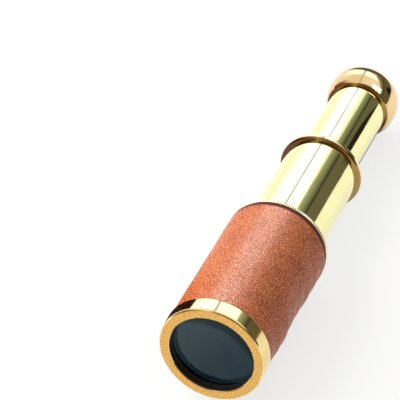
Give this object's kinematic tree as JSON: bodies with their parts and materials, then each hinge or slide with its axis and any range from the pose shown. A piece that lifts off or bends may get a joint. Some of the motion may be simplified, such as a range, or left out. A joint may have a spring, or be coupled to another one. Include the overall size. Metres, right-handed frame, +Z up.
{
  "type": "spyglass",
  "caption": "Pocket spyglass: leather-covered brass barrel, sliding and turning draw tubes, flat-faced bezel with a recessed objective, and a rounded eyecup.",
  "frame": {"origin": "centre of the bezel's flat front face, on the optical axis", "axes": "+X along the optical axis from the objective towards the eye, +Z up with the spyglass lying on its barrel, both draws fully out"},
  "size_m": [0.1516, 0.0354, 0.0354],
  "materials": {
    "barrel_tube": "satin",
    "leather_sleeve": "pebbled",
    "objective_bezel": "polished band, satin face",
    "objective_lens": "polished",
    "blackened_brass": "blackened",
    "collar_brass": "polished",
    "felt": "felt",
    "inner_brass": "turned",
    "draw_brass": "polished",
    "lens_glass": "polished",
    "eyecup_brass": "polished"
  },
  "bodies": {
    "barrel": {"barrel_tube": "barrel_tube", "leather_sleeve": "leather_sleeve", "objective_bezel": "objective_bezel", "objective_lens": "objective_lens", "objective_retaining_ring": "blackened_brass", "barrel_collar": "collar_brass", "barrel_felt_liner": "felt"},
    "middle_ring": {"middle_spring_ring": "inner_brass"},
    "middle_draw": {"middle_tube": "draw_brass", "middle_guide_bush": "inner_brass", "middle_baffle": "blackened_brass", "middle_collar": "collar_brass", "middle_felt_liner": "felt"},
    "eye_ring": {"eye_spring_ring": "inner_brass"},
    "eye_draw": {"eye_tube": "draw_brass", "eye_guide_bush": "inner_brass", "erector_cell": "inner_brass", "erector_front_lens": "lens_glass", "erector_front_ring": "blackened_brass", "erector_stop": "blackened_brass", "erector_rear_lens": "lens_glass", "erector_rear_ring": "blackened_brass", "eyepiece_cell": "inner_brass", "field_stop": "blackened_brass", "field_lens": "lens_glass", "eye_lens": "lens_glass", "eye_lens_ring": "blackened_brass", "eyecup": "eyecup_brass"}
  },
  "joints": [
    {"name": "middle_slide", "type": "slide", "parent": "barrel", "child": "middle_ring", "axis": [-1, 0, 0], "range_m": [0, 0.0412]},
    {"name": "middle_turn", "type": "hinge", "parent": "middle_ring", "child": "middle_draw", "pos_m": [0.0528, 0, 0], "axis": [1, 0, 0], "continuous": true},
    {"name": "eye_slide", "type": "slide", "parent": "middle_draw", "child": "eye_ring", "axis": [-1, 0, 0], "range_m": [0, 0.0372]},
    {"name": "eye_turn", "type": "hinge", "parent": "eye_ring", "child": "eye_draw", "pos_m": [0.0958, 0, 0], "axis": [1, 0, 0], "continuous": true}
  ]
}
